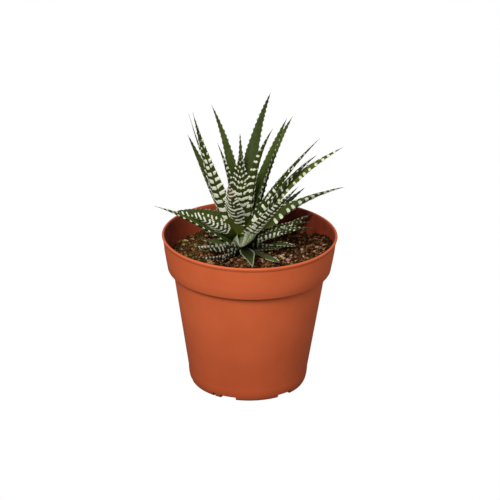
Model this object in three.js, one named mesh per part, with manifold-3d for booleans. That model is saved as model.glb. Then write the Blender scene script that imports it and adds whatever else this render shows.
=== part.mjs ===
// A zebra haworthia growing in a thin plastic nursery pot. Millimetres, +Z up.
// The origin is the centre of the pot's underside. -Y faces the viewer, and +X is to the right.
import * as THREE from 'three';
import { mergeVertices } from 'three/addons/utils/BufferGeometryUtils.js';
import Module from 'manifold-3d';

const wasm = await Module();
wasm.setup();

// Clearance between pieces that touch
const GAP = 0.3;
const DEG = Math.PI / 180;

const POT = {
  sides: 40,
  height: 94.5,
  rimRadius: 52.5,
  lipRound: 0.6,
  wall: 1.5,
  bandHeight: 21.2,
  bandFootRadius: 49,
  shoulderHeight: 4,
  bodyTopRadius: 45.3,
  bodyFootRadius: 36.1,
  footHeight: 9,
  footRadius: 33.5,
  footArcSteps: 3,
  // The underside stands on a flat disc and a foot ring, with a gully between them
  discRadius: 12,
  gullyOuterRadius: 28.5,
  gullySlope: 1.5,
  gullyHeight: 2.4,
  floorTop: 4,
  // Notches through the foot ring, and drain holes in the gully's roof
  notches: 6,
  firstNotch: -110,
  notchWidth: 9.6,
  notchHeight: 2.2,
  drainRadius: 1.9,
  drainSides: 8,
  drainRing: 22,
};

const SOIL = {
  level: 79.5,
  // The compost is banked up against the right-hand wall
  bankHeight: 9,
  bankFrom: 20,
  bankTo: 49,
  // It sinks a little round the stem
  hollowDepth: 3,
  hollowRadius: 14,
  // The bank's foot runs askew, this much of y for each x
  bankSkew: 0.3,
  roughness: 0.55,
  // Waves of the crumbly top: turns along x and y in radians a millimetre, and a shift
  waves: [[0.42, 0.31, 1.1], [-0.37, 0.52, 2.3], [0.71, -0.44, 0.4], [0.12, 0.93, 3.7]],
  rings: 8,
};

const STEM = {
  x: -4.5,
  y: 16,
  foot: 66,
  footRadius: 4.2,
  soilLine: 78,
  soilRadius: 4.6,
  top: 92,
  topRadius: 2.2,
  // Both ends are rounded off over a short height, to a part of their radius
  footRise: 3,
  footTaper: 0.6,
  crownRise: 1.5,
  crownTaper: 0.4,
  sides: 10,
};

const ROOTS = {
  count: 6,
  // The first root's heading, as a part of the turn between two roots
  firstTurn: 0.35,
  start: 71,
  stagger: 2,
  length: 38,
  thickRadius: 1.7,
  thinRadius: 0.9,
  dropFrom: 40,
  dropTo: 78,
  steps: 6,
  sides: 5,
};

const LEAF = {
  // Shape along the leaf, from its base at 0 to its tip at 1
  sheathWidth: 0.8,
  widestAt: 0.15,
  taper: 0.9,
  keel: 1.8,
  thickness: 0.38,
  // Parts of that thickness at the base, where the leaf is widest and at the tip
  baseDepth: 0.5,
  middleDepth: 0.9,
  tipDepth: 1.3,
  leastDepth: 0.65,
  // Where the flank's corner stands between the keel at 0 and the margin at 1
  flank: 0.58,
  hollow: 0.06,
  plumpSwell: 1.67,
  plumpPinch: 0.62,
  groove: 0.4,
  tipRadius: 0.35,
  // Cross ridges on the outer face
  ridgePitch: 6.4,
  ridgeHeight: 0.4,
  ridgeFrom: 0.14,
  ridgeTo: 0.93,
  ridgeSag: 0.3,
  ridgeSpread: 0.5,
  pathSteps: 64,
};

// Leaves from the heart outwards. attach is the height of the base on the stem, facing is the
// compass angle from +X towards +Y, rise is the climb above the horizontal at base and tip, and
// swing is how far the leaf veers sideways. roll and twist turn the blade about its own length.
// widest, sheath and taper stand in for the leaf shape's own values, depth thickens the leaf, and a
// plump leaf swells out past its margins, with a deep groove down its inner face.
const LEAVES = [
  { attach: 91.5, facing: 95, rise: [77, 71], swing: 4, length: 56, width: 7 },
  { attach: 91, facing: -102, rise: [89, 58], swing: 12, length: 59, width: 12.5, widest: 0.4,
    sheath: 0.95 },
  { attach: 90, facing: -50, rise: [87, 56], swing: 10, length: 76, width: 11, bend: 1.3 },
  { attach: 90, facing: 200, rise: [89, 64.5], swing: 5, length: 60.5, width: 9.5 },
  { attach: 89.5, facing: -111, rise: [59, 52], swing: 14, length: 52, width: 10,
    widest: 0.5, sheath: 0.5 },
  { attach: 88.5, facing: 15, rise: [89, 57], swing: 24, length: 74.5, width: 12.5, bend: 0.6 },
  { attach: 88.5, facing: 85, rise: [70, 53], swing: -33, length: 86, width: 14 },
  { attach: 88.5, facing: 122, rise: [85, 56], swing: 18, length: 79, width: 11.5 },
  { attach: 88, facing: 221, rise: [62, 70], swing: 12, length: 97, width: 15, roll: -18,
    taper: 1.2 },
  { attach: 89, facing: -92, rise: [51, -55], length: 22.5, width: 15.5, roll: -38, widest: 0.5,
    sheath: 0.55, taper: 0.65, plump: 1, depth: 1.5 },
  { attach: 86.5, facing: 160, rise: [62, 58], swing: -12, length: 67.5, width: 13 },
  { attach: 86.5, facing: 190, rise: [66.5, 73], length: 85, width: 6 },
  { attach: 86.5, facing: 48, rise: [73, 47], swing: -6, length: 77, width: 13 },
  { attach: 86, facing: -64, rise: [45, 45], swing: 27, length: 69.5, width: 12, widest: 0.25 },
  { attach: 85, facing: -33, rise: [70, 45.5], swing: 34, length: 83, width: 10, roll: 35,
    widest: 0.1, taper: 1 },
  { attach: 85, facing: 102, rise: [34, 0], length: 45, width: 13 },
  { attach: 84.5, facing: 26, rise: [64, 26], swing: -17, length: 80.5, width: 12, bend: 0.7,
    roll: -14 },
  { attach: 84.5, facing: 212, rise: [60, 2], swing: -24, length: 47, width: 17, roll: -60,
    widest: 0.4, sheath: 0.5 },
  { attach: 84, facing: 74, rise: [30, -2], length: 33, width: 12 },
  { attach: 83.5, facing: 20, rise: [69, 29], length: 67, width: 11, roll: 24, taper: 0.75 },
  { attach: 83, facing: 39, rise: [32, 26], swing: -5, length: 49, width: 10.5 },
  { attach: 82.5, facing: 12, rise: [52, 0], swing: 8, length: 69, width: 11, roll: -42, twist: 80,
    widest: 0.3, sheath: 0.9 },
  { attach: 82.5, facing: 208, rise: [39, 25], swing: 6, length: 66.5, width: 11.5,
    roll: 26, taper: 1.2 },
  { attach: 82, facing: 140, rise: [30, 0], length: 26, width: 11 },
  { attach: 81.5, facing: -8, rise: [48, 3], swing: -6, length: 42, width: 11, roll: 30, widest: 0.4 },
  { attach: 83, facing: 172, rise: [-14, 27], swing: 34, length: 22.5, width: 12 },
  { attach: 81.5, facing: 56, rise: [20, -4], length: 33, width: 11 },
  { attach: 80.5, facing: -28, rise: [44, 8], length: 49, width: 8.5, roll: 30, widest: 0.45 },
  { attach: 81.5, facing: 256, rise: [2, 22], swing: -38, length: 53, width: 8, roll: -40 },
  { attach: 80.5, facing: 18, rise: [30, 7], swing: 8, length: 44, width: 10, roll: 30, widest: 0.4 },
  { attach: 80.5, facing: -16, rise: [20, -4], swing: -8, length: 30.5, width: 10, roll: 35,
    twist: -50, widest: 0.4 },
  { attach: 80.5, facing: 90, rise: [14, -4], length: 27, width: 10 },
  { attach: 80.5, facing: -82, rise: [19, -4], length: 43, width: 8.5, widest: 0.5, sheath: 0.4 },
  { attach: 82, facing: 237, rise: [10, 3], swing: -65, length: 31, width: 12.5, roll: -48 },
  { attach: 80.5, facing: -63, rise: [10, 8], swing: 3, length: 44, width: 5.5,
    widest: 0.75, sheath: 0.3 },
  { attach: 80, facing: -40, rise: [9, 19], swing: 15, length: 26.5, width: 6 },
];

const FINISH = {
  plastic: { color: 0xc0603a, roughness: 0.55 },
  compost: { color: 0x3a291c, roughness: 0.95 },
  bark: { color: 0x8a7a50, roughness: 0.8 },
  leaf: { color: 0x4f6133, roughness: 0.5 },
};

// Solid helpers

function mergedByPosition(geometry) {
  const bare = geometry.clone();
  bare.deleteAttribute('normal');
  bare.deleteAttribute('uv');
  const merged = mergeVertices(bare, 1e-4);
  const corners = [];
  const index = merged.index.array;
  for (let i = 0; i < index.length; i += 3) {
    const [a, b, c] = [index[i], index[i + 1], index[i + 2]];
    if (a !== b && b !== c && c !== a) corners.push(a, b, c);
  }
  merged.setIndex(corners);
  return merged;
}

function solidFrom(geometry) {
  const merged = mergedByPosition(geometry);
  return new wasm.Manifold(new wasm.Mesh({
    numProp: 3,
    vertProperties: new Float32Array(merged.attributes.position.array),
    triVerts: new Uint32Array(merged.index.array),
  }));
}

function geometryFrom(solid) {
  const mesh = solid.getMesh();
  const geometry = new THREE.BufferGeometry();
  geometry.setAttribute('position', new THREE.BufferAttribute(new Float32Array(mesh.vertProperties), 3));
  geometry.setIndex(new THREE.BufferAttribute(new Uint32Array(mesh.triVerts), 1));
  geometry.computeVertexNormals();
  return geometry;
}

// Cutting can leave loose scraps, so only the largest body is kept
function largestBody(solid) {
  return solid.decompose().reduce((a, b) => (b.volume() > a.volume() ? b : a));
}

function signedVolume(points, corners) {
  let six = 0;
  for (let i = 0; i < corners.length; i += 3) {
    const [a, b, c] = [points[corners[i]], points[corners[i + 1]], points[corners[i + 2]]];
    six += a.dot(b.clone().cross(c));
  }
  return six / 6;
}

// A closed solid skinned over rings of points, with a fan over each end ring
function loft(rings) {
  const count = rings[0].length;
  const points = rings.flat();
  const corners = [];
  for (let r = 0; r + 1 < rings.length; r++) {
    for (let k = 0; k < count; k++) {
      const next = (k + 1) % count;
      const [a, b] = [r * count + k, r * count + next];
      const [c, d] = [a + count, b + count];
      corners.push(a, b, d, a, d, c);
    }
  }
  for (const [ring, flip] of [[0, true], [rings.length - 1, false]]) {
    const middle = rings[ring].reduce((sum, p) => sum.add(p), new THREE.Vector3());
    points.push(middle.divideScalar(count));
    for (let k = 0; k < count; k++) {
      const edge = [ring * count + k, ring * count + ((k + 1) % count)];
      if (flip) edge.reverse();
      corners.push(points.length - 1, ...edge);
    }
  }
  if (signedVolume(points, corners) < 0) corners.reverse();
  const geometry = new THREE.BufferGeometry().setFromPoints(points);
  geometry.setIndex(corners);
  return geometry;
}

function circle(centre, across, up, radius, sides) {
  return Array.from({ length: sides }, (_, k) => {
    const turn = (k / sides) * 2 * Math.PI;
    return centre.clone()
      .addScaledVector(across, radius * Math.cos(turn))
      .addScaledVector(up, radius * Math.sin(turn));
  });
}

// Pot

function arc(centreX, centreY, radiusX, radiusY, from, to, steps) {
  return Array.from({ length: steps + 1 }, (_, i) => {
    const angle = THREE.MathUtils.lerp(from, to, i / steps) * DEG;
    return new THREE.Vector2(centreX + radiusX * Math.cos(angle), centreY + radiusY * Math.sin(angle));
  });
}

// The inside of the pot, from the lip down to the floor at the axis
function innerProfile() {
  const bandFoot = POT.height - POT.bandHeight;
  const footRise = POT.footHeight - POT.floorTop;
  return [
    new THREE.Vector2(POT.rimRadius - POT.wall, POT.height - POT.lipRound),
    new THREE.Vector2(POT.bandFootRadius - POT.wall, bandFoot + POT.lipRound),
    new THREE.Vector2(POT.bodyTopRadius - POT.wall, bandFoot - POT.shoulderHeight + POT.lipRound),
    ...arc(POT.footRadius - POT.wall, POT.footHeight,
      POT.bodyFootRadius - POT.footRadius, footRise, 0, -90, POT.footArcSteps - 1),
    new THREE.Vector2(0, POT.floorTop),
  ];
}

function outerProfile() {
  const bandFoot = POT.height - POT.bandHeight;
  const lipMiddle = POT.rimRadius - POT.wall / 2;
  return [
    new THREE.Vector2(0, 0),
    new THREE.Vector2(POT.discRadius, 0),
    new THREE.Vector2(POT.discRadius + POT.gullySlope, POT.gullyHeight),
    new THREE.Vector2(POT.gullyOuterRadius, POT.gullyHeight),
    new THREE.Vector2(POT.gullyOuterRadius + POT.gullySlope, 0),
    ...arc(POT.footRadius, POT.footHeight,
      POT.bodyFootRadius - POT.footRadius, POT.footHeight, -90, 0, POT.footArcSteps),
    new THREE.Vector2(POT.bodyTopRadius, bandFoot - POT.shoulderHeight),
    new THREE.Vector2(POT.bandFootRadius - POT.lipRound, bandFoot - POT.lipRound),
    new THREE.Vector2(POT.bandFootRadius, bandFoot),
    new THREE.Vector2(POT.rimRadius, POT.height - POT.lipRound),
    new THREE.Vector2(lipMiddle, POT.height),
  ];
}

function potGeometry() {
  const lathe = new THREE.LatheGeometry([...outerProfile(), ...innerProfile()], POT.sides);
  lathe.rotateX(Math.PI / 2);
  let body = solidFrom(lathe);
  const notchLength = POT.bodyFootRadius - POT.gullyOuterRadius;
  for (let i = 0; i < POT.notches; i++) {
    const turn = (POT.firstNotch + (360 / POT.notches) * i) * DEG;
    const notch = new THREE.BoxGeometry(notchLength, POT.notchWidth, 2 * POT.notchHeight);
    notch.translate(POT.gullyOuterRadius + notchLength / 2, 0, 0);
    notch.rotateZ(turn);
    const drain = new THREE.CylinderGeometry(
      POT.drainRadius, POT.drainRadius, POT.floorTop, POT.drainSides);
    drain.rotateX(Math.PI / 2);
    drain.translate(POT.drainRing, 0, POT.floorTop);
    drain.rotateZ(turn);
    body = body.subtract(solidFrom(notch)).subtract(solidFrom(drain));
  }
  return geometryFrom(body);
}

// Stem and roots

function stemRadius(z, grow = 0) {
  const up = THREE.MathUtils.clamp((z - STEM.soilLine) / (STEM.top - STEM.soilLine), 0, 1);
  return THREE.MathUtils.lerp(STEM.soilRadius, STEM.topRadius, up) + grow;
}

function stemCore(grow = 0) {
  const [east, north] = [new THREE.Vector3(1, 0, 0), new THREE.Vector3(0, 1, 0)];
  const levels = [
    [STEM.foot - grow, STEM.footRadius * STEM.footTaper + grow],
    [STEM.foot + STEM.footRise, STEM.footRadius + grow],
    [STEM.soilLine, STEM.soilRadius + grow],
    [STEM.top, STEM.topRadius + grow],
    [STEM.top + STEM.crownRise + grow, STEM.topRadius * STEM.crownTaper + grow],
  ];
  return loft(levels.map(([z, radius]) =>
    circle(new THREE.Vector3(STEM.x, STEM.y, z), east, north, radius, STEM.sides)));
}

function root(number, grow = 0) {
  const heading = (number + ROOTS.firstTurn) / ROOTS.count * 2 * Math.PI;
  const across = new THREE.Vector3(-Math.sin(heading), Math.cos(heading), 0);
  const step = ROOTS.length / ROOTS.steps;
  const level = ROOTS.start - (number % 2) * ROOTS.stagger;
  const point = new THREE.Vector3(STEM.x, STEM.y, level);
  const rings = [];
  for (let i = 0; i <= ROOTS.steps; i++) {
    const along = i / ROOTS.steps;
    const drop = THREE.MathUtils.lerp(ROOTS.dropFrom, ROOTS.dropTo, along) * DEG;
    const course = new THREE.Vector3(
      Math.cos(heading) * Math.cos(drop), Math.sin(heading) * Math.cos(drop), -Math.sin(drop));
    const lift = new THREE.Vector3().crossVectors(across, course);
    const radius = THREE.MathUtils.lerp(ROOTS.thickRadius, ROOTS.thinRadius, along) + grow;
    const last = i === ROOTS.steps ? grow : 0;
    rings.push(circle(point.clone().addScaledVector(course, last), across, lift, radius, ROOTS.sides));
    point.addScaledVector(course, step);
  }
  return loft(rings);
}

function stemAndRoots(grow = 0) {
  let body = solidFrom(stemCore(grow));
  for (let i = 0; i < ROOTS.count; i++) body = body.add(solidFrom(root(i, grow)));
  return body;
}

// Compost

function crumbs(x, y) {
  return SOIL.waves.reduce((sum, [fx, fy, shift]) => sum + Math.sin(fx * x + fy * y + shift), 0);
}

function soilHeight(x, y) {
  const bank = THREE.MathUtils.smoothstep(x - SOIL.bankSkew * y, SOIL.bankFrom, SOIL.bankTo);
  const fromStem = Math.hypot(x - STEM.x, y - STEM.y) / SOIL.hollowRadius;
  return SOIL.level + SOIL.bankHeight * bank - SOIL.hollowDepth * Math.exp(-fromStem * fromStem)
    + SOIL.roughness * crumbs(x, y);
}

function wallRadius(z) {
  const [lip, foot] = innerProfile();
  return foot.x + (lip.x - foot.x) * (z - foot.y) / (lip.y - foot.y);
}

function soilGeometry() {
  const around = Array.from({ length: POT.sides }, (_, k) => (k / POT.sides) * 2 * Math.PI);
  const direction = (turn) => new THREE.Vector2(Math.sin(turn), -Math.cos(turn));
  const ringAt = (radius, z) => around.map((turn) => {
    const d = direction(turn).multiplyScalar(radius);
    return new THREE.Vector3(d.x, d.y, z);
  });
  // The sides follow the inside of the pot, from the floor up to below its lip
  const sides = innerProfile().slice(1, -1).reverse().map((p) => ringAt(p.x - GAP, p.y + GAP));
  const top = [];
  for (let ring = SOIL.rings; ring >= 1; ring--) {
    const part = ring / SOIL.rings;
    top.push(around.map((turn) => {
      const edge = direction(turn).multiplyScalar(wallRadius(SOIL.level) - GAP);
      let flat = edge.clone().multiplyScalar(part);
      const z = soilHeight(flat.x, flat.y);
      if (ring === SOIL.rings) flat = direction(turn).multiplyScalar(wallRadius(z) - GAP);
      return new THREE.Vector3(flat.x, flat.y, z);
    }));
  }
  const body = solidFrom(loft([...sides, ...top]));
  return geometryFrom(largestBody(body.subtract(stemAndRoots(GAP))));
}

// Leaves

// The middle line of the leaf's inner face, as closely spaced points with a frame at each
function leafPath(leaf) {
  const facing = leaf.facing * DEG;
  const out = stemRadius(leaf.attach) + GAP;
  const point = new THREE.Vector3(
    STEM.x + out * Math.cos(facing), STEM.y + out * Math.sin(facing), leaf.attach);
  const step = leaf.length / LEAF.pathSteps;
  const path = [];
  for (let i = 0; i <= LEAF.pathSteps; i++) {
    const along = i / LEAF.pathSteps;
    const rise = THREE.MathUtils.lerp(leaf.rise[0], leaf.rise[1], along ** (leaf.bend ?? 1)) * DEG;
    const heading = (leaf.facing + (leaf.swing ?? 0) * along) * DEG;
    const course = new THREE.Vector3(
      Math.cos(heading) * Math.cos(rise), Math.sin(heading) * Math.cos(rise), Math.sin(rise));
    const level = new THREE.Vector3(Math.sin(heading), -Math.cos(heading), 0);
    const face = new THREE.Vector3().crossVectors(level, course);
    const turn = ((leaf.roll ?? 0) + (leaf.twist ?? 0) * along) * DEG;
    const across = level.clone().multiplyScalar(Math.cos(turn)).addScaledVector(face, Math.sin(turn));
    const inner = face.clone().multiplyScalar(Math.cos(turn)).addScaledVector(level, -Math.sin(turn));
    path.push({ point: point.clone(), course, across, inner });
    point.addScaledVector(course, step);
  }
  return path;
}

function pathAt(path, along) {
  const place = THREE.MathUtils.clamp(along, 0, 1) * (path.length - 1);
  const low = Math.min(Math.floor(place), path.length - 2);
  const mix = (key) => path[low][key].clone().lerp(path[low + 1][key], place - low);
  return { point: mix('point'), across: mix('across'), inner: mix('inner') };
}

function halfWidth(leaf, along) {
  const { sheath = LEAF.sheathWidth, widest = LEAF.widestAt, taper = LEAF.taper } = leaf;
  const shape = along < widest
    ? sheath + (1 - sheath) * Math.sin((along / widest) * Math.PI / 2)
    : Math.max(0, 1 - (along - widest) / (1 - widest)) ** taper;
  return Math.max(LEAF.tipRadius, (leaf.width / 2) * shape);
}

// Leaves are thin where they clasp the stem, and nearly three-sided at the tip
function leafDepth(leaf, along) {
  const { widest = LEAF.widestAt, depth = 1 } = leaf;
  const share = along < widest
    ? THREE.MathUtils.lerp(LEAF.baseDepth, LEAF.middleDepth, along / widest)
    : THREE.MathUtils.lerp(LEAF.middleDepth, LEAF.tipDepth, (along - widest) / (1 - widest));
  return Math.max(LEAF.leastDepth, 2 * halfWidth(leaf, along) * LEAF.thickness * depth * share);
}

// How far out of its flat place a point of the outer face stands on a plump leaf
function swell(leaf, away) {
  return 1 + (leaf.plump ?? 0) * (LEAF.plumpSwell * (1 - away) - LEAF.plumpPinch * away ** 4);
}

// One ring of the leaf: margin, outer face by way of the keel, margin, then the inner face.
// The outer face's points sag towards the base, so the ridges run as wide V shapes. With a gap,
// it is a ring of the room that the leaf needs, flat across the inner face.
function leafRing(leaf, path, [along, raise], gap = 0) {
  const half = halfWidth(leaf, along) + LEAF.ridgeSpread * raise + gap;
  const depth = leafDepth(leaf, along) + raise;
  const sag = along > 0 && along < 1 ? 2 * LEAF.ridgeSag * halfWidth(leaf, along) / leaf.length : 0;
  const ring = [-1, -LEAF.flank, 0, LEAF.flank, 1].map((u) => {
    const { point, across, inner } = pathAt(path, along - sag * (1 - Math.abs(u)));
    const below = depth * (1 - Math.abs(u) ** LEAF.keel) + gap;
    const out = swell(leaf, Math.abs(u));
    const sideways = u * half * (gap > 0 ? Math.max(1, out) : out);
    return point.addScaledVector(across, sideways).addScaledVector(inner, -below);
  });
  const { point, across, inner } = pathAt(path, along);
  const edge = half * swell(leaf, 1);
  const hollow = LEAF.hollow + (leaf.plump ?? 0) * LEAF.groove;
  const top = gap > 0 ? [[edge, gap], [-edge, gap]] : [[0, -hollow * half]];
  return [...ring, ...top.map(([u, v]) =>
    point.clone().addScaledVector(across, u).addScaledVector(inner, v))];
}

// Where the rings stand along the leaf, each with the height of its ridge
function ringPlaces(leaf) {
  const bands = Math.round((leaf.length * (LEAF.ridgeTo - LEAF.ridgeFrom)) / LEAF.ridgePitch);
  const places = [[0, 0], [LEAF.ridgeFrom / 2, 0]];
  for (let i = 0; i <= 2 * bands; i++) {
    const along = THREE.MathUtils.lerp(LEAF.ridgeFrom, LEAF.ridgeTo, i / (2 * bands));
    places.push([along, i % 2 ? LEAF.ridgeHeight * Math.min(1, 2 * (1 - along)) : 0]);
  }
  return [...places, [1, 0]];
}

function leafGeometry(leaf) {
  const path = leafPath(leaf);
  return loft(ringPlaces(leaf).map((place) => leafRing(leaf, path, place)));
}

// The room that a leaf and the gap round it take up. Its rings are those of the base, the ridges
// and the tip.
function leafRoom(leaf) {
  const path = leafPath(leaf);
  const places = ringPlaces(leaf);
  const kept = places.filter(([along, raise]) =>
    raise > 0 || along <= LEAF.ridgeFrom || along >= LEAF.ridgeTo);
  return solidFrom(loft(kept.map((place) => leafRing(leaf, path, place, GAP))));
}

// Each leaf gives way to the stem and to the leaves nearer the heart, which it clasps
function leafGeometries() {
  let taken = [solidFrom(stemCore(GAP))];
  return LEAVES.map((leaf) => {
    const whole = solidFrom(leafGeometry(leaf));
    const cut = taken.reduce((body, room) => body.subtract(room), whole);
    taken = [...taken, leafRoom(leaf)];
    return geometryFrom(largestBody(cut));
  });
}

// Assembly

function named(name, geometry, { color, roughness }) {
  const mesh = new THREE.Mesh(
    geometry, new THREE.MeshStandardMaterial({ color, roughness, metalness: 0 }));
  mesh.name = name;
  return mesh;
}

const plant = new THREE.Group();
plant.add(named('pot', potGeometry(), FINISH.plastic));
plant.add(named('soil', soilGeometry(), FINISH.compost));
plant.add(named('stem', geometryFrom(stemAndRoots()), FINISH.bark));
leafGeometries().forEach((geometry, i) => {
  plant.add(named(`leaf_${String(i + 1).padStart(2, '0')}`, geometry, FINISH.leaf));
});

export default plant;
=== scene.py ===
"""A zebra haworthia in a thin plastic nursery pot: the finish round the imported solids.

Sizes are millimetres in the tables and functions, and metres in Blender. +Z is up, -Y faces the
viewer and +X is to the right, as in the part's own source.
"""

import math
from collections import namedtuple

import bmesh
import bpy
import numpy as np
from mathutils import Euler, Matrix, Vector, noise
from mathutils.bvhtree import BVHTree


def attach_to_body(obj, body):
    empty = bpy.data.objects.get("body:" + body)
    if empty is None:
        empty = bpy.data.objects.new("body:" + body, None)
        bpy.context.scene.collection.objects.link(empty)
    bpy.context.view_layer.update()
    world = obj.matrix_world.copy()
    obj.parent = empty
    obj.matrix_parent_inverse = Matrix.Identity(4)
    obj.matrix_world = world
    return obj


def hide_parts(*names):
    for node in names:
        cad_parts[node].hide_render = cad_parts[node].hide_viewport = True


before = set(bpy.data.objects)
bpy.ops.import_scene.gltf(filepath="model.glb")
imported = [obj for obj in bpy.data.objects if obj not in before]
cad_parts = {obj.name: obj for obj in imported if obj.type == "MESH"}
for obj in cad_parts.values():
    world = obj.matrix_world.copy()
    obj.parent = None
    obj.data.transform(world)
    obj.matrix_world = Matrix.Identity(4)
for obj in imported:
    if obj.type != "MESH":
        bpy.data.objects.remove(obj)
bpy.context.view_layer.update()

MM = 0.001
BODY = "root"

# Pot, as in the part's source
POT_HEIGHT = 94.5
RIM_RADIUS = 52.5
WALL = 1.5
BAND_HEIGHT = 21.2
BAND_FOOT_RADIUS = 49.0
SHOULDER_HEIGHT = 4.0
BAND_FOOT_HEIGHT = POT_HEIGHT - BAND_HEIGHT
SHOULDER_FOOT_HEIGHT = BAND_FOOT_HEIGHT - SHOULDER_HEIGHT
BODY_TOP_RADIUS = 45.3
BODY_FOOT_RADIUS = 36.1
FOOT_HEIGHT = 9.0
FOOT_RADIUS = 33.5
DISC_RADIUS = 12.0
GULLY_OUTER_RADIUS = 28.5
GULLY_SLOPE = 1.5
GULLY_HEIGHT = 2.4
FLOOR_TOP = 4.0
NOTCHES = 6
FIRST_NOTCH = -110.0
NOTCH_WIDTH = 9.6
NOTCH_HEIGHT = 2.2
DRAIN_RADIUS = 1.9
DRAIN_RING = 22.0

# Only here: a narrow slot in the foot's edge, and the bead that the lip ends in
SLOT_ANGLE = -125.5
SLOT_WIDTH = 1.6
LIP_BEAD_HEIGHT = 2.4
LIP_BEAD_DEPTH = 0.45

# Finer points of the pot's section: how far out and up each lies from its own corner
SHOULDER_CURVE = ((0.1, 0.1), (0.35, 1.1), (0.75, 2.1), (1.5, 3.0))
BAND_FOOT_CURVE = ((-0.9, -0.55), (-0.3, -0.25), (-0.02, 0.25))
BEAD_NECK_CURVE = ((-0.05, -0.6), (0.0, -0.15))
BEAD_START = (-0.1, 0.2)
INNER_BAND_CURVE = ((0.0, 0.8), (-0.5, 0.0))
INNER_SHOULDER_CURVE = ((0.3, 1.0), (0.0, 0.0))
INNER_LIP_DROPS = (0.75, 1.1, 2.0, 3.2)
BAND_RISES = (6.0, 12.0)
BODY_SHARES = (0.25, 0.5, 0.75, 0.97)
FOOT_STEPS = 12
FLOOR_STEPS = 8
LIP_STEPS = 8
EDGE_RISE = 0.15
EDGE_RUN = 0.5
FOOT_EDGE_RUN = 0.4
DRAIN_MARGIN = 2.0
POT_SIDES = 240
NOTCH_EDGE = 0.06
DRILL_SIDES = 32

# Painted shade: how the pot darkens towards its foot, and round its inner wall by angle
FOOT_SHADE_HEIGHT = 66.0
FOOT_SHADE_SHARE = 0.42
INNER_SHADE_DEPTHS = (0.0, 0.35)
INNER_SHADE_ANGLES = (0, 22, 40, 62, 90, 123, 148, 168, 185, 360)
INNER_SHADE_SHARES = (0.8, 0.9, 1.0, 1.0, 0.85, 0.55, 0.85, 1.0, 0.93, 0.78)

# Compost, as in the part's source
SOIL_LEVEL = 79.5
BANK_HEIGHT = 9.0
BANK_FROM = 20.0
BANK_TO = 49.0
BANK_SKEW = 0.3
HOLLOW_DEPTH = 3.0
HOLLOW_RADIUS = 14.0
SOIL_ROUGHNESS = 0.55
SOIL_WAVES = ((0.42, 0.31, 1.1), (-0.37, 0.52, 2.3), (0.71, -0.44, 0.4), (0.12, 0.93, 3.7))

# Finer lumps and pits of the compost, where it is mossy, and where painted shade darkens it
# behind the plant and by the left wall
SOIL_RINGS = 72
SOIL_COLUMNS = 260
LUMP_SCALE = 0.45
LUMP_SLICE = 2.0
LUMP_NOISE = (0.8, 2.1, 5)
LUMP_HEIGHT = 0.85
PIT_SCALE = 0.7
PIT_SLICE = 5.0
PIT_DEPTH = 0.8
CRUMB_LIFT = 0.3
MOSSY_FROM = -18.0
MOSSY_TO = -34.0
SOIL_SHADE_SIDE = (4.0, 24.0)
SOIL_SHADE_BACK = (-22.0, 0.0)
SOIL_SHADE_END = (38.0, 48.0)
SOIL_SHADE_END_SHARE = 0.5
SOIL_SHADE_WALL = (40.0, 50.0)
SOIL_SHADE_WALL_SIDE = (-30.0, 10.0)
SOIL_SHADE_WALL_SHARE = 0.8

# Stem, as in the part's source
STEM_X = -4.5
STEM_Y = 16.0
STEM_SOIL_LINE = 78.0
STEM_SOIL_RADIUS = 4.6
STEM_TOP = 92.0
STEM_TOP_RADIUS = 2.2

# Room between the solids, as in the part's source
CLEARANCE = 0.3

# Shape along a leaf, as in the part's source
KEEL_POWER = 1.8
THICKNESS = 0.38
BASE_DEPTH = 0.5
MIDDLE_DEPTH = 0.9
TIP_DEPTH = 1.3
HOLLOW = 0.06

# Mesh density of a leaf
RING_STEP = 0.4
OUTER_COLUMNS = 30
INNER_COLUMNS = 12

# The camera that the photograph was taken with, fitted to the pot's rim and foot
CAMERA_ELEVATION = 23.3
CAMERA_DISTANCE = 1600.0
CAMERA_TARGET = (0.3, 0.0, 83.9)
CAMERA_ROLL = 0.76
FOCAL_PIXELS = 2672.0
PHOTO_SIDE = 500.0
SENSOR = 36.0

# What a leaf has where its row in the table says nothing else
USUAL_LEAF = dict(
    swing=0.0, bend=1.0, roll=0.0, twist=0.0, widest=0.15, sheath=0.8, taper=0.9, plump=0.0, depth=1.0,
    first=0.09, pitch=4.2, stroke=1.8, sag=0.35, lean=0.0, columns=1, dots=0.35, reach=0.95, beads=0.18,
    bars=1.0, dry=0.0, pale=0.0, shade=0.0, fresh=0.0, soiled=0.0, rim=0.0)


def leaf(attach, facing, rise, length, width, **special):
    """A leaf's place and course, in the words of the part's source, and its markings."""
    return dict(USUAL_LEAF, attach=attach, facing=facing, rise=rise, length=length, width=width, **special)
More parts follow.
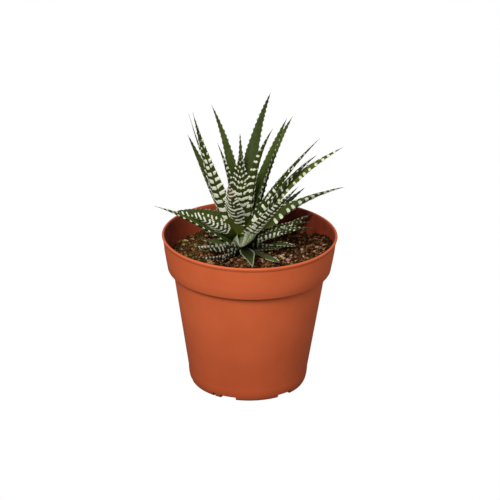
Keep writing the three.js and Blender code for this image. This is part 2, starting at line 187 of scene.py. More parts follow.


# Leaves from the heart outwards. Their markings are: first, where along the leaf the white bands
# begin; pitch, their spacing; stroke, a band's thickness; sag, how far its middle hangs towards the
# base; lean, how much further along its right end lies than its left; columns, into how many parts it
# is broken, where 1 leaves that to chance; dots, from where along the leaf the bands break up into
# dots; reach, how near they come to the margins; beads, how white the teeth are on the inner face;
# bars, how far in that white reaches from the right margin; dry, how far the tip has dried; pale, how
# washed-out the green is; shade, how much painted shade darkens the whole leaf, and fresh, how much
# yellower; soiled, how far along from the base the leaf is darkened by painted shade; rim, how pale
# the margins are.
LEAVES = [
    leaf(91.5, 95, (77, 71), 56, 7, swing=4),
    leaf(91, -102, (89, 58), 59, 12.5, swing=12, widest=0.4, sheath=0.95, pitch=5.0, stroke=2.7, sag=0.16,
         lean=0.1),
    leaf(90, -50, (87, 56), 76, 11, swing=10, bend=1.3, first=0.18, pitch=5.8, stroke=2.7, sag=-0.1,
         columns=2),
    leaf(90, 200, (89, 64.5), 60.5, 9.5, swing=5, stroke=2.4),
    leaf(89.5, -111, (59, 52), 52, 10, swing=14, widest=0.5, sheath=0.5, pitch=4.0, stroke=2.2,
         sag=0.1, lean=0.35, dots=0.8, dry=0.6),
    leaf(88.5, 15, (89, 57), 74.5, 12.5, swing=24, bend=0.6),
    leaf(88.5, 85, (70, 53), 86, 14, swing=-33, shade=0.42),
    leaf(88.5, 122, (85, 56), 79, 11.5, swing=18),
    leaf(88, 221, (62, 70), 97, 15, swing=12, roll=-18, taper=1.2, first=0.2, pitch=6.2,
         stroke=3.5, sag=0.2, columns=3, dots=0.6),
    leaf(89, -92, (51, -55), 22.5, 15.5, plump=1.0, depth=1.5, roll=-38, widest=0.5, sheath=0.55,
         taper=0.65, first=1.0, pale=1.0, rim=0.6),
    leaf(86.5, 160, (62, 58), 67.5, 13, swing=-12),
    leaf(86.5, 190, (66.5, 73), 85, 6, pitch=5.0, stroke=2.2),
    leaf(86.5, 48, (73, 47), 77, 13, swing=-6, fresh=0.2),
    leaf(86, -64, (45, 45), 69.5, 12, swing=27, widest=0.25, first=0.14, pitch=4.0, stroke=2.4, sag=0.1,
         dots=0.9, columns=3),
    leaf(85, -33, (70, 45.5), 83, 10, swing=34, roll=35, widest=0.1, taper=1.0, first=0.2, pitch=4.8,
         stroke=2.6, sag=0.6, dots=0.4, reach=0.8, beads=0.2, shade=0.3),
    leaf(85, 102, (34, 0), 45, 13),
    leaf(84.5, 26, (64, 26), 80.5, 12, swing=-17, bend=0.7, roll=-14, pitch=5.6, stroke=3.6,
         dots=0.8, beads=1.2, bars=3.0, fresh=0.55),
    leaf(84.5, 212, (60, 2), 47, 17, swing=-24, roll=-60, widest=0.4, sheath=0.5, first=0.24, pitch=3.5,
         stroke=1.4, sag=1.0, dots=0.8, reach=0.7, soiled=0.2),
    leaf(84, 74, (30, -2), 33, 12),
    leaf(83.5, 20, (69, 29), 67, 11, roll=24, taper=0.75, pitch=5.6, stroke=2.3, sag=0.6, dots=0.5,
         shade=0.2),
    leaf(83, 39, (32, 26), 49, 10.5, swing=-5),
    leaf(82.5, 12, (52, 0), 69, 11, swing=8, roll=-42, twist=80, widest=0.3, sheath=0.9, first=0.3,
         pitch=5.2, stroke=4.2, sag=0.1, dots=1.0, beads=1.9, bars=5.0, fresh=0.1, soiled=0.15),
    leaf(82.5, 208, (39, 25), 66.5, 11.5, swing=6, roll=26, taper=1.2, first=0.12, pitch=5.6,
         stroke=2.6, sag=0.4, beads=1.5),
    leaf(82, 140, (30, 0), 26, 11),
    leaf(81.5, -8, (48, 3), 42, 11, swing=-6, roll=30, widest=0.4, first=0.2, pitch=3.6, stroke=2.0,
         sag=1.0, dots=0.5, reach=0.8, beads=0.6, soiled=0.2),
    leaf(83, 172, (-14, 27), 22.5, 12, swing=34, first=0.5, pale=0.15, fresh=0.7),
    leaf(81.5, 56, (20, -4), 33, 11),
    leaf(80.5, -28, (44, 8), 49, 8.5, roll=30, widest=0.45, first=0.17, pitch=3.6, stroke=2.1, sag=1.0,
         dots=0.5, reach=0.8, beads=0.6, soiled=0.2),
    leaf(81.5, 256, (2, 22), 53, 8, swing=-38, roll=-40, first=0.3, pitch=3.6, stroke=2.0,
         dots=0.1, soiled=1.1),
    leaf(80.5, 18, (30, 7), 44, 10, swing=8, roll=30, widest=0.4, first=0.36, pitch=3.6, stroke=1.8,
         sag=0.9, dots=0.4, reach=0.8, soiled=0.5),
    leaf(80.5, -16, (20, -4), 30.5, 10, swing=-8, roll=35, twist=-50, widest=0.4, pitch=2.8, stroke=1.1,
         dots=0.1, beads=0.35, soiled=0.7),
    leaf(80.5, 90, (14, -4), 27, 10),
    leaf(80.5, -82, (19, -4), 43, 8.5, widest=0.5, sheath=0.4, first=1.0, soiled=0.95, rim=1.0),
    leaf(82, 237, (10, 3), 31, 12.5, swing=-65, roll=-48, pitch=2.8, stroke=1.0, sag=0.8, dots=0.5,
         soiled=1.3),
    leaf(80.5, -63, (10, 8), 44, 5.5, swing=3, widest=0.75, sheath=0.3, first=0.7, pitch=3.0,
         stroke=1.0, beads=0.4, pale=0.1, fresh=0.3, soiled=0.8),
    leaf(80, -40, (9, 19), 26.5, 6, swing=15, pitch=2.6, stroke=1.1, soiled=0.9),
]


# Mesh helpers

def smoothstep(x, low, high):
    """From 0 at low to 1 at high, with a soft start and end."""
    t = np.clip((x - low) / (high - low), 0.0, 1.0)
    return t * t * (3.0 - 2.0 * t)


def mesh_object(name, points, faces, material, attributes):
    """A smooth-shaded mesh object from points in millimetres and lists of corners."""
    mesh = bpy.data.meshes.new(name)
    mesh.from_pydata((np.asarray(points) * MM).tolist(), [], faces)
    for label, values in attributes.items():
        layer = mesh.attributes.new(label, "FLOAT", "POINT")
        layer.data.foreach_set("value", np.asarray(values, np.float32))
    mesh.polygons.foreach_set("use_smooth", [True] * len(mesh.polygons))
    mesh.materials.append(material)
    mesh.update()
    piece = bpy.data.objects.new(name, mesh)
    bpy.context.scene.collection.objects.link(piece)
    return piece


def tube_faces(rows, columns):
    """Corners of the quads between closed rows of points, and of the fans that close the first row
    and the last round the two points that follow them."""
    faces = []
    for row in range(rows - 1):
        near, far = row * columns, (row + 1) * columns
        for column in range(columns):
            following = (column + 1) % columns
            faces.append((near + column, near + following, far + following, far + column))
    start, end = rows * columns, rows * columns + 1
    last = (rows - 1) * columns
    for column in range(columns):
        following = (column + 1) % columns
        faces.append((start, following, column))
        faces.append((end, last + column, last + following))
    return faces


def seat(piece, slot, *nodes):
    """The piece rides with the part, and stands for the CAD nodes that are named."""
    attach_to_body(piece, BODY)
    if nodes:
        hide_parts(*nodes)
    return piece


# Material helpers

class Nodes:
    """Shorthand for building a material's node tree."""

    def __init__(self, name):
        self.material = bpy.data.materials.new(name)
        self.material.use_nodes = True
        self.tree = self.material.node_tree
        self.shader = self.tree.nodes["Principled BSDF"]

    def add(self, kind, inputs=None, **settings):
        node = self.tree.nodes.new(kind)
        for key, value in settings.items():
            setattr(node, key, value)
        for key, value in (inputs or {}).items():
            self.put(node.inputs[key], value)
        return node

    def put(self, socket, value):
        if isinstance(value, bpy.types.NodeSocket):
            self.tree.links.new(value, socket)
        else:
            socket.default_value = value

    def place(self, scale):
        """Object coordinates in millimetres, times scale."""
        where = self.add("ShaderNodeTexCoord").outputs["Object"]
        sized = self.add("ShaderNodeVectorMath", {0: where}, operation="SCALE")
        sized.inputs["Scale"].default_value = scale / MM
        return sized.outputs[0]

    def axis(self, letter):
        """The object's X, Y or Z in millimetres."""
        return self.add("ShaderNodeSeparateXYZ", {0: self.place(1.0)}).outputs[letter]

    def noise(self, scale, detail=3.0, roughness=0.55, stretch=None):
        where = self.place(scale)
        if stretch:
            scaled = self.add("ShaderNodeVectorMath", {0: where, 1: stretch}, operation="MULTIPLY")
            where = scaled.outputs[0]
        settings = {"Vector": where, "Scale": 1.0, "Detail": detail, "Roughness": roughness}
        return self.add("ShaderNodeTexNoise", settings).outputs["Fac"]

    def attribute(self, name):
        return self.add("ShaderNodeAttribute", attribute_name=name).outputs["Fac"]

    def ramp(self, value, *stops):
        """A colour ramp: each stop is a place and a colour."""
        node = self.add("ShaderNodeValToRGB", {"Fac": value})
        elements = node.color_ramp.elements
        while len(elements) < len(stops):
            elements.new(0.5)
        for element, (place, color) in zip(elements, stops):
            element.position = place
            element.color = (*color, 1.0)
        return node.outputs["Color"]

    def spread(self, value, low, high, out_low=0.0, out_high=1.0):
        """The value from low to high, mapped smoothly to the range out_low to out_high."""
        settings = {"Value": value, "From Min": low, "From Max": high, "To Min": out_low, "To Max": out_high}
        return self.add("ShaderNodeMapRange", settings, interpolation_type="SMOOTHSTEP").outputs["Result"]

    def math(self, operation, a, b):
        return self.add("ShaderNodeMath", {0: a, 1: b}, operation=operation).outputs[0]

    def mix(self, share, a, b):
        node = self.add("ShaderNodeMix", data_type="RGBA")
        colors = [socket for socket in node.inputs if socket.type == "RGBA"]
        self.put(node.inputs[0], share)
        for socket, value in zip(colors, (a, b)):
            self.put(socket, value if isinstance(value, bpy.types.NodeSocket) else (*value, 1.0))
        return next(socket for socket in node.outputs if socket.type == "RGBA")

    def bump(self, height, distance, strength):
        settings = {"Height": height, "Distance": distance * MM, "Strength": strength}
        return self.add("ShaderNodeBump", settings).outputs["Normal"]

    def dress(self, color, roughness, normal, specular=None):
        """Feeds the shader, and gives back the finished material."""
        inputs = self.shader.inputs
        self.put(inputs["Base Color"], color)
        self.put(inputs["Roughness"], roughness)
        self.put(inputs["Normal"], normal)
        if specular is not None:
            self.put(inputs["Specular IOR Level"], specular)
        return self.material


# Colours, in linear light: a pair or a row of them is what a noise or a tone moves between

TERRACOTTA = ((0.600, 0.114, 0.035), (0.640, 0.125, 0.041))
# Painted shade towards the pot's foot
TERRACOTTA_FOOT_SHADE = (0.24, 0.030, 0.008)
TERRACOTTA_DUST = (0.62, 0.20, 0.10)
# Painted shade on the pot's inner wall
TERRACOTTA_INNER_SHADE = (0.100, 0.012, 0.005)
PEAT = ((0.006, 0.003, 0.001), (0.045, 0.018, 0.006), (0.160, 0.062, 0.024), (0.32, 0.17, 0.10))
PEAT_ALGAE = (0.070, 0.058, 0.012)
# Painted shade on the compost
PEAT_PAINTED_SHADE = (0.012, 0.005, 0.002)
CHIP_DARK = (0.014, 0.006, 0.003)
CHIP_MOSS = (0.100, 0.080, 0.014)
# Painted shade on the chips
CHIP_PAINTED_SHADE = (0.030, 0.008, 0.003)
CRUMBS = ((0.006, 0.003, 0.001), (0.040, 0.015, 0.005), (0.190, 0.068, 0.018), (0.42, 0.19, 0.065))
FIBRES = ((0.022, 0.009, 0.004), (0.17, 0.066, 0.026), (0.36, 0.17, 0.09), (0.52, 0.34, 0.19))
GRIT = ((0.10, 0.060, 0.045), (0.28, 0.19, 0.12), (0.46, 0.38, 0.20))
BIT_BARK = ((0.075, 0.040, 0.020), (0.27, 0.13, 0.085), (0.47, 0.30, 0.22), (0.54, 0.32, 0.16))
BIT_MOSS = ((0.30, 0.24, 0.09), (0.50, 0.42, 0.22))
# The stem's bark, painted darker for the shade under the leaves
STEM_BARK_AND_SHADE = ((0.018, 0.013, 0.006), (0.060, 0.045, 0.020))
LEAF_OUTER = ((0.028, 0.040, 0.006), (0.060, 0.076, 0.012))
LEAF_INNER = ((0.036, 0.056, 0.007), (0.076, 0.102, 0.016))
LEAF_SPECKS = (0.16, 0.19, 0.050)
LEAF_TOOTH = (0.018, 0.026, 0.010)
LEAF_FRESH = (0.13, 0.160, 0.018)
# Painted shade at the leaf bases
LEAF_BASE_SHADE = (0.014, 0.014, 0.006)
LEAF_TIP = (0.030, 0.034, 0.018)
LEAF_PALE = ((0.10, 0.125, 0.05), (0.33, 0.36, 0.23))
# Painted shade over a whole leaf
LEAF_SHADED = (0.008, 0.014, 0.002)
LEAF_MARGIN = (0.42, 0.46, 0.31)
LEAF_DRIED = ((0.11, 0.055, 0.028), (0.30, 0.17, 0.11))
CREAM = ((0.71, 0.74, 0.53), (0.90, 0.91, 0.74))
# Painted shade at the leaf bases, on the white bands
CREAM_BASE_SHADE = (0.16, 0.155, 0.10)


def plastic_material():
    """Moulded terracotta-coloured plastic with a faint grain and a little dust, and painted shade on its
    inner wall and towards its foot."""
    nodes = Nodes("terracotta_plastic")
    base = nodes.ramp(nodes.noise(0.05, 5.0), *zip((0.35, 0.65), TERRACOTTA))
    # Painted shade, darker towards the foot
    foot_shade = nodes.spread(nodes.axis("Z"), 0.0, FOOT_SHADE_HEIGHT, FOOT_SHADE_SHARE, 0.0)
    base = nodes.mix(foot_shade, base, TERRACOTTA_FOOT_SHADE)
    dust = nodes.spread(nodes.noise(0.9, 6.0, 0.7), 0.6, 0.9, 0.0, 0.14)
    color = nodes.mix(dust, base, TERRACOTTA_DUST)
    unevenness = nodes.spread(nodes.noise(0.12, 4.0), 0.3, 0.7, 0.88, 1.0)
    # Painted shade on the inner wall, by depth below the lip and by angle round it
    inner_shade = nodes.math("MULTIPLY", nodes.attribute("inside"), unevenness)
    color = nodes.mix(inner_shade, color, TERRACOTTA_INNER_SHADE)
    roughness = nodes.spread(nodes.noise(0.2, 5.0), 0.3, 0.7, 0.46, 0.56)
    return nodes.dress(color, roughness, nodes.bump(nodes.noise(2.2, 4.0), 0.03, 0.3), specular=0.22)


def compost_material():
    """Dark crumbly peat, olive with algae in patches, with painted shade behind the plant and by the left
    wall.
    """
    nodes = Nodes("compost")
    color = nodes.ramp(nodes.noise(1.1, 8.0, 0.75), *zip((0.34, 0.50, 0.60, 0.72), PEAT))
    algae = nodes.spread(nodes.noise(0.10, 4.0), 0.48, 0.62, 0.0, 0.45)
    color = nodes.mix(algae, color, PEAT_ALGAE)
    # Painted shade behind the plant and by the left wall
    color = nodes.mix(nodes.math("MULTIPLY", nodes.attribute("soil_shade"), 0.75), color, PEAT_PAINTED_SHADE)
    return nodes.dress(color, 0.95, nodes.bump(nodes.noise(2.2, 8.0, 0.75), 0.9, 1.0), specular=0.05)


def chip_material(name, *stops):
    """Bark, fibre or grit: each bit has its own tone among the colours given, and is streaked, mossy
    on the left, and darker with painted shade behind the plant and by the left wall."""
    nodes = Nodes(name)
    streak = nodes.spread(nodes.noise(1.6, 6.0, 0.7, stretch=(1.0, 2.5, 1.0)), 0.3, 0.7, -0.18, 0.18)
    color = nodes.ramp(nodes.math("ADD", nodes.attribute("tone"), streak), *stops)
    dark = nodes.spread(nodes.noise(0.22, 4.0, 0.6), 0.50, 0.66, 0.0, 0.8)
    color = nodes.mix(dark, color, CHIP_DARK)
    left = nodes.spread(nodes.axis("X"), MOSSY_FROM, MOSSY_TO)
    moss = nodes.math("MULTIPLY", left, nodes.spread(nodes.noise(0.14, 3.0), 0.40, 0.60, 0.1, 0.65))
    color = nodes.mix(moss, color, CHIP_MOSS)
    # Painted shade behind the plant and by the left wall
    color = nodes.mix(nodes.math("MULTIPLY", nodes.attribute("soil_shade"), 0.5), color, CHIP_PAINTED_SHADE)
    return nodes.dress(color, 0.9, nodes.bump(nodes.noise(3.0, 6.0, 0.7), 0.4, 0.8), specular=0.05)


def bark_material():
    """Corky skin of the stem and its roots, its brown darkened by painted shade from the leaves above."""
    nodes = Nodes("stem_bark_and_shade")
    color = nodes.ramp(nodes.noise(0.5, 5.0), *zip((0.3, 0.7), STEM_BARK_AND_SHADE))
    return nodes.dress(color, 0.85, nodes.bump(nodes.noise(1.5, 5.0), 0.3, 0.6))


def leaf_material():
    """Waxy leaf skin, with painted shade at the bases and over some whole leaves. The mesh says where
    the white warts are and how far each point is along.
    """
    nodes = Nodes("leaf_skin")
    mottle = nodes.noise(0.35, 5.0, 0.6)
    outer = nodes.ramp(mottle, *zip((0.3, 0.7), LEAF_OUTER))
    inner = nodes.ramp(mottle, *zip((0.3, 0.7), LEAF_INNER))
    specks = nodes.spread(nodes.noise(1.3, 2.0, 0.5), 0.60, 0.70, 0.0, 0.6)
    inner = nodes.mix(specks, inner, LEAF_SPECKS)
    green = nodes.mix(nodes.attribute("outer"), inner, outer)
    # Dark teeth, yellower young growth, and painted shade at the leaf bases
    for label, share, tint in (("tooth", 0.7, LEAF_TOOTH), ("fresh", 0.7, LEAF_FRESH),
                               ("soiled", 0.85, LEAF_BASE_SHADE)):
        green = nodes.mix(nodes.math("MULTIPLY", nodes.attribute(label), share), green, tint)
    green = nodes.mix(nodes.spread(nodes.attribute("along"), 0.75, 1.0, 0.0, 0.6), green, LEAF_TIP)
    speckled = nodes.ramp(nodes.noise(1.7, 3.0, 0.6), *zip((0.42, 0.60), LEAF_PALE))
    dried = nodes.mix(nodes.noise(1.2, 4.0), *LEAF_DRIED)
    # Washed-out green, painted shade over the whole leaf, pale margins and dried tips
    for label, tint in (("pale", speckled), ("shade", LEAF_SHADED), ("edge", LEAF_MARGIN),
                        ("dry", dried)):
        green = nodes.mix(nodes.attribute(label), green, tint)
    cream = nodes.ramp(nodes.noise(0.8, 4.0), *zip((0.3, 0.7), CREAM))
    # Painted shade at the leaf bases darkens the white bands too
    cream = nodes.mix(nodes.math("MULTIPLY", nodes.attribute("soiled"), 0.6), cream, CREAM_BASE_SHADE)
    white = nodes.spread(nodes.attribute("white"), -0.08, 0.12)
    roughness = nodes.spread(white, 0.0, 1.0, 0.5, 0.65)
    normal = nodes.bump(nodes.noise(2.5, 4.0), 0.12, 0.4)
    return nodes.dress(nodes.mix(white, green, cream), roughness, normal, specular=0.09)


# Pot

def arc(centre_x, centre_y, radius_x, radius_y, start, end, steps):
    """Points along an ellipse between two angles in degrees."""
    turn = np.radians(np.linspace(start, end, steps + 1))
    return list(zip(centre_x + radius_x * np.cos(turn), centre_y + radius_y * np.sin(turn)))


def pot_profile():
    """The pot's section as points of radius and height, from the underside's middle over the lip
    and down to the middle of the floor."""
    gully_end = GULLY_OUTER_RADIUS + GULLY_SLOPE
    outside = [(0.0, 0.0), (DISC_RADIUS - EDGE_RUN, 0.0), (DISC_RADIUS, EDGE_RISE),
               (DISC_RADIUS + GULLY_SLOPE, GULLY_HEIGHT), (DRAIN_RING - DRAIN_MARGIN, GULLY_HEIGHT),
               (DRAIN_RING + DRAIN_MARGIN, GULLY_HEIGHT), (GULLY_OUTER_RADIUS, GULLY_HEIGHT),
               (gully_end, EDGE_RISE), (gully_end + FOOT_EDGE_RUN, 0.0)]
    foot_round = BODY_FOOT_RADIUS - FOOT_RADIUS
    outside += arc(FOOT_RADIUS, FOOT_HEIGHT, foot_round, FOOT_HEIGHT, -90, 0, FOOT_STEPS)
    outside += [(BODY_FOOT_RADIUS + (BODY_TOP_RADIUS - BODY_FOOT_RADIUS) * share,
                 FOOT_HEIGHT + (SHOULDER_FOOT_HEIGHT - FOOT_HEIGHT) * share) for share in BODY_SHARES]
    outside += [(BODY_TOP_RADIUS + out, SHOULDER_FOOT_HEIGHT + up) for out, up in SHOULDER_CURVE]
    outside += [(BAND_FOOT_RADIUS + out, BAND_FOOT_HEIGHT + up) for out, up in BAND_FOOT_CURVE]
    band_slope = (RIM_RADIUS - BAND_FOOT_RADIUS) / BAND_HEIGHT
    outside += [(BAND_FOOT_RADIUS + band_slope * up, BAND_FOOT_HEIGHT + up) for up in BAND_RISES]
    bead_foot = POT_HEIGHT - LIP_BEAD_HEIGHT
    bead_radius = RIM_RADIUS - band_slope * LIP_BEAD_HEIGHT
    neck_radius = bead_radius - LIP_BEAD_DEPTH
    outside += [(neck_radius + out, bead_foot + up) for out, up in BEAD_NECK_CURVE]
    outside.append((bead_radius + BEAD_START[0], bead_foot + BEAD_START[1]))
    half = WALL / 2
    outside += arc(RIM_RADIUS - half, POT_HEIGHT - half, half, half, 0, 180, LIP_STEPS)
    inside = [(RIM_RADIUS - WALL - band_slope * drop, POT_HEIGHT - drop) for drop in INNER_LIP_DROPS]
    inside += [(BAND_FOOT_RADIUS - WALL + out, BAND_FOOT_HEIGHT + up) for out, up in INNER_BAND_CURVE]
    inside += [(BODY_TOP_RADIUS - WALL + out, SHOULDER_FOOT_HEIGHT + up)
               for out, up in INNER_SHOULDER_CURVE]
    floor_round = FOOT_HEIGHT - FLOOR_TOP
    inside += arc(FOOT_RADIUS - WALL, FOOT_HEIGHT, foot_round, floor_round, 0, -90, FLOOR_STEPS)
    return np.array(outside + inside + [(0.0, FLOOR_TOP)])


def pot_columns():
    """The angles of the pot's columns, with pairs of columns close together at notch edges."""
    turns = set(np.linspace(0, 360, POT_SIDES, endpoint=False).round(3))
    half = math.degrees(NOTCH_WIDTH / 2 / FOOT_RADIUS)
    cuts = [(FIRST_NOTCH + 360 / NOTCHES * notch, half) for notch in range(NOTCHES)]
    cuts.append((SLOT_ANGLE, math.degrees(SLOT_WIDTH / 2 / FOOT_RADIUS)))
    for middle, reach in cuts:
        for edge in (middle - reach, middle + reach):
            turns |= {round((edge - NOTCH_EDGE) % 360, 3), round((edge + NOTCH_EDGE) % 360, 3)}
    return np.array(sorted(turns)), cuts


def make_pot(material):
    """The pot, with its notches and slot, its drain holes and the painted shade of its inner wall."""
    profile = pot_profile()
    turns, cuts = pot_columns()
    between_ends = profile[1:-1]
    in_notch = np.zeros(len(turns), bool)
    for middle, reach in cuts:
        in_notch |= np.abs((turns - middle + 180) % 360 - 180) < reach
    radians = np.radians(turns)
    rings = []
    for radius, height in between_ends:
        lifted = np.full(len(turns), height)
        if radius > GULLY_OUTER_RADIUS and height < NOTCH_HEIGHT:
            lifted[in_notch] = NOTCH_HEIGHT
        rings.append(np.stack([radius * np.cos(radians), radius * np.sin(radians), lifted], -1))
    points = np.vstack([*rings, [[0, 0, profile[0][1]], [0, 0, profile[-1][1]]]])
    faces = tube_faces(len(rings), len(turns))
    # Painted shade on the inner wall: how much, by depth below the lip and by angle round it
    lip_ring = int(np.argmax(between_ends[:, 1]))
    hidden = np.array([smoothstep(POT_HEIGHT - height, *INNER_SHADE_DEPTHS) if ring > lip_ring else 0.0
                       for ring, height in enumerate(between_ends[:, 1])])
    share = np.interp(turns, INNER_SHADE_ANGLES, INNER_SHADE_SHARES)
    inside = np.append(np.outer(hidden, share).ravel(), [0, 1])
    piece = mesh_object("pot_moulding", points, faces, material, {"inside": inside})
    drill_drains(piece)
    return seat(piece, "terracotta_plastic", "pot")


def drill_drains(piece):
    """Six small round holes through the floor, above the gully."""
    drills = bmesh.new()
    for notch in range(NOTCHES):
        turn = math.radians(FIRST_NOTCH + 360 / NOTCHES * notch)
        middle = Vector((DRAIN_RING * math.cos(turn), DRAIN_RING * math.sin(turn), FLOOR_TOP)) * MM
        bmesh.ops.create_cone(drills, cap_ends=True, segments=DRILL_SIDES, radius1=DRAIN_RADIUS * MM,
                              radius2=DRAIN_RADIUS * MM, depth=2 * FLOOR_TOP * MM,
                              matrix=Matrix.Translation(middle))
    mesh = bpy.data.meshes.new("drills")
    drills.to_mesh(mesh)
    drills.free()
    tool = bpy.data.objects.new("drills", mesh)
    bpy.context.scene.collection.objects.link(tool)
    cut(piece, tool)
    bpy.data.objects.remove(tool)


def cut(piece, tool):
    """Takes the tool's shape out of the piece for good."""
    modifier = piece.modifiers.new("cut", "BOOLEAN")
    modifier.operation = "DIFFERENCE"
    modifier.solver = "EXACT"
    modifier.object = tool
    evaluated = piece.evaluated_get(bpy.context.evaluated_depsgraph_get())
    mesh = bpy.data.meshes.new_from_object(evaluated)
    piece.modifiers.clear()
    piece.data = mesh


# Compost

def soil_height(x, y):
    """Height of the compost as the solid has it, before its finer crumbs."""
    bank = smoothstep(x - BANK_SKEW * y, BANK_FROM, BANK_TO)
    from_stem = np.hypot(x - STEM_X, y - STEM_Y) / HOLLOW_RADIUS
    waves = sum(np.sin(fx * x + fy * y + shift) for fx, fy, shift in SOIL_WAVES)
    return SOIL_LEVEL + BANK_HEIGHT * bank - HOLLOW_DEPTH * np.exp(-from_stem ** 2) + SOIL_ROUGHNESS * waves


def crumb_height(x, y):
    """The finer lumps that the solid leaves out."""
    lumps = noise.fractal(Vector((x * LUMP_SCALE, y * LUMP_SCALE, LUMP_SLICE)), *LUMP_NOISE)
    pits = noise.voronoi(Vector((x * PIT_SCALE, y * PIT_SCALE, PIT_SLICE)))[0][0]
    return LUMP_HEIGHT * lumps - PIT_DEPTH * pits + CRUMB_LIFT


def soil_shade_at(x, y):
    """How much painted shade the compost gets: most behind the plant on the right, where its shadow falls,
    and by the left wall.
    """
    ending = 1 - SOIL_SHADE_END_SHARE * smoothstep(x, *SOIL_SHADE_END)
    back = smoothstep(x, *SOIL_SHADE_SIDE) * smoothstep(y, *SOIL_SHADE_BACK) * ending
    wall = smoothstep(np.hypot(x, y), *SOIL_SHADE_WALL) * (1 - smoothstep(x, *SOIL_SHADE_WALL_SIDE))
    return np.clip(np.maximum(back, SOIL_SHADE_WALL_SHARE * wall), 0, 1)


def wall_radius(z):
    """The radius of the pot's inside at a height."""
    share = (z - BAND_FOOT_HEIGHT) / (POT_HEIGHT - BAND_FOOT_HEIGHT)
    return BAND_FOOT_RADIUS - WALL + (RIM_RADIUS - BAND_FOOT_RADIUS) * share


def make_soil(material):
    """The top of the compost in detail, over a plain body that reaches down to the pot's floor."""
    turns = np.linspace(0, 2 * np.pi, SOIL_COLUMNS, endpoint=False)
    rings = []
    for ring in range(1, SOIL_RINGS + 1):
        share = ring / SOIL_RINGS
        reach = (wall_radius(SOIL_LEVEL) - CLEARANCE) * share
        x, y = reach * np.cos(turns), reach * np.sin(turns)
        z = soil_height(x, y)
        if ring == SOIL_RINGS:
            edge = wall_radius(z) - CLEARANCE
            x, y = edge * np.cos(turns), edge * np.sin(turns)
        z = z + np.array([crumb_height(a, b) for a, b in zip(x, y)])
        rings.append(np.stack([x, y, z], -1))
    sides = [(BAND_FOOT_RADIUS - WALL, BAND_FOOT_HEIGHT + INNER_BAND_CURVE[0][1]),
             (BODY_TOP_RADIUS - WALL, SHOULDER_FOOT_HEIGHT),
             (BODY_FOOT_RADIUS - WALL, FOOT_HEIGHT), (FOOT_RADIUS - WALL, FLOOR_TOP)]
    for radius, height in sides:
        reach = radius - CLEARANCE
        z = np.full(SOIL_COLUMNS, height + CLEARANCE)
        rings.append(np.stack([reach * np.cos(turns), reach * np.sin(turns), z], -1))
    middle_z = soil_height(0.0, 0.0) + crumb_height(0.0, 0.0)
    points = np.vstack([*rings, [[0, 0, middle_z], [0, 0, FLOOR_TOP + CLEARANCE]]])
    faces = [tuple(reversed(corners)) for corners in tube_faces(len(rings), SOIL_COLUMNS)]
    # Painted shade on the compost, behind the plant and by the left wall
    soil_shade = soil_shade_at(points[:, 0], points[:, 1])
    return seat(mesh_object("compost", points, faces, material, {"soil_shade": soil_shade}), "compost", "soil")


# Leaves

def stem_radius(z):
    """The stem's radius at a height."""
    up = min(max((z - STEM_SOIL_LINE) / (STEM_TOP - STEM_SOIL_LINE), 0.0), 1.0)
    return STEM_SOIL_RADIUS + (STEM_TOP_RADIUS - STEM_SOIL_RADIUS) * up


def leaf_path(item, steps):
    """Points down the middle of the inner face, with the directions across and out of it."""
    along = np.linspace(0.0, 1.0, steps + 1)
    low, high = item["rise"]
    rise = np.radians(low + (high - low) * along ** item["bend"])
    heading = np.radians(item["facing"] + item["swing"] * along)
    course = np.stack([np.cos(heading) * np.cos(rise), np.sin(heading) * np.cos(rise), np.sin(rise)], -1)
    level = np.stack([np.sin(heading), -np.cos(heading), np.zeros(steps + 1)], -1)
    face = np.cross(level, course)
    turn = np.radians(item["roll"] + item["twist"] * along)[:, None]
    across = level * np.cos(turn) + face * np.sin(turn)
    inner = face * np.cos(turn) - level * np.sin(turn)
    facing = math.radians(item["facing"])
    out = stem_radius(item["attach"]) + CLEARANCE
    start = np.array([STEM_X + out * math.cos(facing), STEM_Y + out * math.sin(facing), item["attach"]])
    step = item["length"] / steps
    moves = (course[1:] + course[:-1]) / 2 * step
    point = start + np.vstack([np.zeros(3), np.cumsum(moves, 0)])
    return along, point, across, inner


def half_width(item, along):
    """Half the leaf's width, at each share of its length."""
    widest, sheath = item["widest"], item["sheath"]
    rising = sheath + (1 - sheath) * np.sin(np.clip(along / widest, 0, 1) * np.pi / 2)
    falling = np.clip(1 - (along - widest) / (1 - widest), 0, 1) ** item["taper"]
    return item["width"] / 2 * np.where(along < widest, rising, falling)


def leaf_depth(item, along):
    """How far the keel stands below the inner face, at each share of the length."""
    widest = item["widest"]
    share = np.where(along < widest,
                     BASE_DEPTH + (MIDDLE_DEPTH - BASE_DEPTH) * along / widest,
                     MIDDLE_DEPTH + (TIP_DEPTH - MIDDLE_DEPTH) * (along - widest) / (1 - widest))
    return 2 * half_width(item, along) * THICKNESS * item["depth"] * share


# The first seed, the tips, and the plump leaf's form
FIRST_LEAF_SEED = 4000
TIP_RADIUS = 0.14
PLUMP_SWELL = 1.67
PLUMP_PINCH = 0.62
GROOVE = 0.4

# Teeth of the margins
TOOTH_LENGTH = 1.0
TOOTH_HEIGHT = 0.95
TOOTH_DEPTH = 1.0
TOOTH_POWER = 1.2
TOOTH_SHIFTS = (-0.35, 0.35)
TOOTH_SIZES = (0.65, 1.0)
TOOTH_FULL_WIDTH = 1.6
TOOTH_LEAST = 0.3
WHITE_FROM = 0.12
OUTER_WHITE = 0.15
OUTER_WHITE_GAIN = 0.40
OUTER_WHITE_REACH = (0.75, 0.9)

